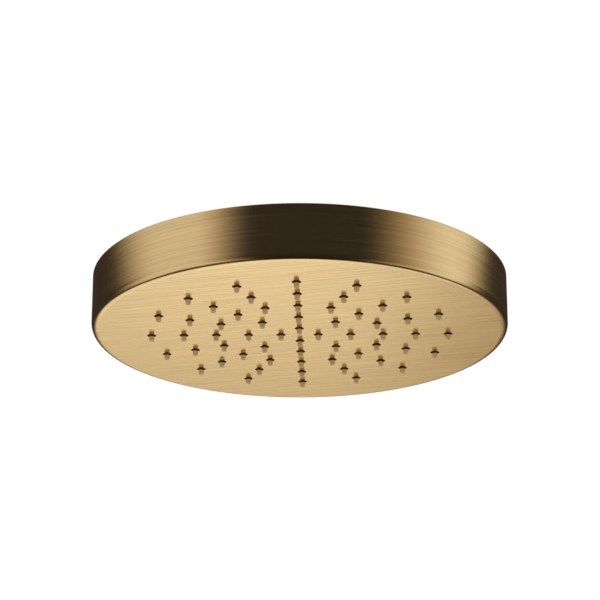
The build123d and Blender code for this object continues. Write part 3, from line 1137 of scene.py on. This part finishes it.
@dataclass
class Strainer:
    """The screen in its gasket at the bottom of the socket, and the flow regulator below it."""

    gasket: str = "strainer_gasket"
    screen: str = "strainer_screen"
    regulator: str = "flow_regulator"
    ring: str = "regulator_ring"

    def dress(self, shop: Shop) -> None:
        """Dress the strainer's pieces.

        Args:
            shop: where pieces get their finishes.
        """
        shop.dress(self.gasket, GASKET_RUBBER)
        shop.dress(self.screen, STRAINER_STEEL)
        shop.dress(self.regulator, BEARING_PLASTIC)
        shop.dress(self.ring, GASKET_RUBBER)


@dataclass(frozen=True)
class Softbox:
    """One soft light of the tent, by the bearings in degrees between which it rises and falls."""

    rise: Span
    fall: Span
    level: float

    def light(self, rising: Value, falling: Value) -> Value:
        """How bright the tent is because of this light, by the bearings for its rise and its fall."""
        return rising.step(*self.rise) * (1 - falling.step(*self.fall)) * self.level


@dataclass(frozen=True)
class BackCard:
    """The pale card low at the back that the spray face mirrors, brightest at the foot of its middle."""

    bearing: Span = (140.0, 160.0)
    rise: Span = (-25.0, -12.0)
    top_level: float = 0.51
    foot_gain: float = 0.72
    full_level: float = 1.02
    right: Span = (-0.02, 0.28)
    right_rise: Span = (-45.0, -25.0)
    right_dim: float = 0.2
    right_rise_dim: float = 0.35
    left: Span = (-0.32, -0.12)
    left_dim: float = 0.1

    def level(self, x: Value, rise: Value) -> Value:
        """How bright the card is.

        Args:
            x: where on the tent, across the picture, in metres.
            rise: how high above the spray face, in degrees.

        Returns:
            The level.
        """
        slope = self.top_level + (1 - rise.step(*self.rise)) * self.foot_gain
        dim = x.step(*self.right) * (rise.step(*self.right_rise) * self.right_rise_dim + self.right_dim)
        return slope * (self.full_level - dim - (1 - x.step(*self.left)) * self.left_dim)


@dataclass(frozen=True)
class LipGap:
    """The dark strip of ground that the lip mirrors as a line round the spray face.

    An edge of the strip is given by where it runs on the axis and how much it curves back, in
    depths below the face, so that it looks the same from any depth.
    """

    front: tuple[float, float] = (-0.62, 0.5)
    back: tuple[float, float] = (0.05, 1.05)
    reach: Span = (0.9, 1.3)
    blur: float = 0.06
    fray: Span = (0.8, 1.2)
    fray_blur: float = 0.6
    darkness: float = 0.94
    tint: Colour = (1.0, 0.6, 0.28)

    def past(self, aside: Value, behind: Value, edge: tuple[float, float]) -> Value:
        """Whether a spot on the ground lies behind an edge.

        Args:
            aside: how far to a side it lies, in depths below the face.
            behind: how far to the back it lies, in the same measure.
            edge: where the edge runs on the axis, and how much it curves back.

        Returns:
            0 in front of the edge and 1 behind it.
        """
        start, curve = edge
        blur = aside.step(*self.fray) * self.fray_blur + self.blur
        return ((behind - aside * aside * curve - start) / blur).step(-1.0, 1.0)


@dataclass(frozen=True)
class LightTent:
    """A dome that only reflections see: a soft box each side, dark between them, a card at the back.

    Bearings go round from the front and rises go up from the spray face, both in degrees.
    """

    radius: float = 1.5
    segments: int = 48
    left: Softbox = Softbox((-108.0, -72.0), (-56.0, -24.0), 0.8)
    right: Softbox = Softbox((34.0, 90.0), (88.0, 114.0), 0.94)
    lean_rise: Span = (16.0, 34.0)
    lean: float = 55.0
    under_rise: Span = (-50.0, 18.0)
    under_left: float = 21.0
    under_right: float = 9.0
    rear_bearing: Span = (95.0, 125.0)
    rear_level: float = 0.012
    dark_level: float = 0.03
    horizon: Span = (-11.0, -4.0)
    card: BackCard = BackCard()
    gap: LipGap = LipGap()
    roof_rise: Span = (38.0, 55.0)
    dusk: Colour = (1.0, 0.87, 0.81)
    dusk_level: Span = (0.03, 0.2)
    warm: Colour = (1.0, 0.79, 0.56)
    warm_level: Span = (0.2, 1.08)

    def boxes(self, bearing: Value, rise: Value) -> Value:
        """How bright the soft boxes make the tent, which widen upwards and downwards.

        Args:
            bearing: where on the tent, round from the front.
            rise: how high above the spray face.

        Returns:
            The level.
        """
        lean = rise.step(*self.lean_rise) * self.lean
        under = 1 - rise.step(*self.under_rise)
        left = self.left.light(bearing + lean + under * self.under_left, bearing)
        right = self.right.light(bearing, bearing - lean - under * self.under_right)
        return left + right + abs(bearing).step(*self.rear_bearing) * self.rear_level + self.dark_level

    def shader(self, sheet: NodeSheet) -> Value:
        """The tent's light.

        Args:
            sheet: where the nodes go.

        Returns:
            The emission shader.
        """
        x, y, z = sheet.place()
        bearing = x.math("ARCTAN2", x, -y) * math.degrees(1.0)
        rise = x.math("ARCTAN2", z - FACE_HEIGHT, x.hypot(y)) * math.degrees(1.0)
        depth = FACE_HEIGHT - z
        aside = abs(x / depth)
        past_front = self.gap.past(aside, y / depth, self.gap.front)
        past_back = self.gap.past(aside, y / depth, self.gap.back)
        low = 1 - rise.step(*self.horizon)
        card = past_back.larger(abs(bearing).step(*self.card.bearing)) * low
        gap = past_front * (1 - past_back) * (1 - aside.step(*self.gap.reach)) * low
        roof = rise.step(*self.roof_rise)
        level = self.boxes(bearing, rise) * (1 - card) + self.card.level(x, rise) * card
        level = level * (1 - gap * self.gap.darkness)
        level = level * (1 - roof) + roof
        shade = sheet.mix(level.step(*self.dusk_level), self.dusk, self.warm)
        tint = sheet.mix(level.step(*self.warm_level), shade, WHITE)
        colour = sheet.scaled(sheet.mix(gap, tint, self.gap.tint), level)
        return sheet.node("ShaderNodeEmission", None, {"Color": colour, "Strength": 1.0})


@dataclass
class Studio:
    """Camera, white world, pale floor, the tent of light and one lamp."""

    tent: LightTent = LightTent()
    distance: float = 1.12837
    azimuth: float = math.radians(1.175)
    elevation: float = math.radians(-19.585)
    aim_east: float = 0.00015
    aim_rise: float = 0.01782
    lens: float = 140.63
    sensor_width: float = 36.0
    clip: Span = (0.01, 200.0)
    soft_white: Colour = (0.85, 0.85, 0.85)
    floor_drop: float = 1.6
    floor_radius: float = 30.0
    floor_sides: int = 96
    floor_fade: Span = (9.0, 28.5)
    floor_roughness: float = 0.9
    floor_dark: Colour = (0.86, 0.86, 0.85)
    floor_light: Colour = (0.89, 0.89, 0.88)
    speckles: float = 3.0
    lamp_place: Point = (-0.4, -0.8, 2.6)
    lamp_size: float = 2.0
    lamp_energy: float = 20.0

    def camera(self) -> None:
        """Stand the camera where the photograph was taken."""
        flat = math.cos(self.elevation)
        east = math.sin(self.azimuth) * flat
        south = math.cos(self.azimuth) * flat
        back = Vector((east, -south, math.sin(self.elevation)))
        data = bpy.data.cameras.new("camera")
        data.lens = self.lens
        data.sensor_width = self.sensor_width
        data.clip_start, data.clip_end = self.clip
        made = bpy.data.objects.new("camera", data)
        made.location = Vector((0.0, 0.0, FACE_HEIGHT)) + back * self.distance
        aim = Vector((self.aim_east, 0.0, FACE_HEIGHT + self.aim_rise))
        made.rotation_mode = "QUATERNION"
        made.rotation_quaternion = (aim - made.location).to_track_quat("-Z", "Y")
        bpy.context.scene.collection.objects.link(made)
        bpy.context.scene.camera = made

    def world(self) -> None:
        """White for the camera and in reflections, a little softer for what it lights."""
        made = bpy.data.worlds.new("white_studio")
        bpy.context.scene.world = made
        sheet = NodeSheet(made)
        path = sheet.node("ShaderNodeLightPath")
        mirrored = path.output("Is Glossy Ray") + path.output("Is Transmission Ray")
        seen = path.output("Is Camera Ray") + mirrored
        colour = sheet.mix(seen.step(0.0, 1.0), self.soft_white, WHITE)
        light = sheet.node("ShaderNodeBackground", None, {"Color": colour, "Strength": 1.0})
        sheet.close(light, "ShaderNodeOutputWorld")

    def prop(self, name: str, shape: bmesh.types.BMesh, surface: bpy.types.Material) -> bpy.types.Object:
        """Stand a thing in the studio that isn't part of the shower head.

        Args:
            name: its name.
            shape: its faces, which this call frees.
            surface: its material.

        Returns:
            The thing.
        """
        made = stand(name, shape, surface)
        return made

    def dome(self) -> None:
        """Hang the tent of light about the spray face, out of everything but reflections."""
        surface = bpy.data.materials.new("dome_light")
        sheet = NodeSheet(surface)
        sheet.close(self.tent.shader(sheet))
        shape = bmesh.new()
        around = self.tent.segments
        bmesh.ops.create_uvsphere(shape, u_segments=around, v_segments=around // 2, radius=self.tent.radius)
        bmesh.ops.translate(shape, verts=shape.verts, vec=(0.0, 0.0, FACE_HEIGHT))
        made = self.prop("dome", shape, surface)
        made.visible_camera = False
        made.visible_diffuse = False
        made.visible_transmission = False
        made.visible_shadow = False

    def floor(self) -> None:
        """Lay a pale floor that keeps the shadow and fades out far away."""
        surface = bpy.data.materials.new("pale_floor")
        sheet = NodeSheet(surface)
        x, y, z = sheet.place()
        far = x.hypot(y).step(*self.floor_fade)
        speckle = sheet.noise(sheet.combine(x * self.speckles, y * self.speckles, z), detail=2.0)
        colour = sheet.mix(speckle, self.floor_dark, self.floor_light)
        sockets = {"Base Color": colour, "Roughness": self.floor_roughness, "Alpha": 1 - far}
        sheet.close(sheet.surface(sockets))
        shape = bmesh.new()
        bmesh.ops.create_circle(shape, cap_ends=True, segments=self.floor_sides, radius=self.floor_radius)
        bmesh.ops.translate(shape, verts=shape.verts, vec=(0.0, 0.0, FACE_HEIGHT - self.floor_drop))
        self.prop("floor", shape, surface)

    def lamp(self) -> None:
        """Hang one wide soft lamp overhead."""
        data = bpy.data.lights.new("overhead", "AREA")
        data.shape = "DISK"
        data.size = self.lamp_size
        data.energy = self.lamp_energy
        made = bpy.data.objects.new("overhead", data)
        made.location = self.lamp_place
        made.rotation_mode = "QUATERNION"
        made.rotation_quaternion = (-made.location).to_track_quat("-Z", "Y")
        made.visible_glossy = False
        bpy.context.scene.collection.objects.link(made)

    def build(self) -> None:
        """Set up the whole studio."""
        bpy.context.scene.view_settings.view_transform = "Standard"
        self.camera()
        self.world()
        self.dome()
        self.floor()
        self.lamp()
        LOG.info("studio stands, camera %.3f m from the face", self.distance)


def main() -> None:
    """Build the pieces in order and set up the studio round them."""
    logging.basicConfig(level=logging.INFO, format="%(name)s: %(message)s")
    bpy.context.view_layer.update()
    shop = Shop()
    Drum().dress(shop)
    NozzleMat().build(shop)
    WaterChamber().dress(shop)
    BallJoint().dress(shop)
    InletStem().build(shop)
    Strainer().dress(shop)
    Studio().build()


if __name__ == "__main__":
    main()
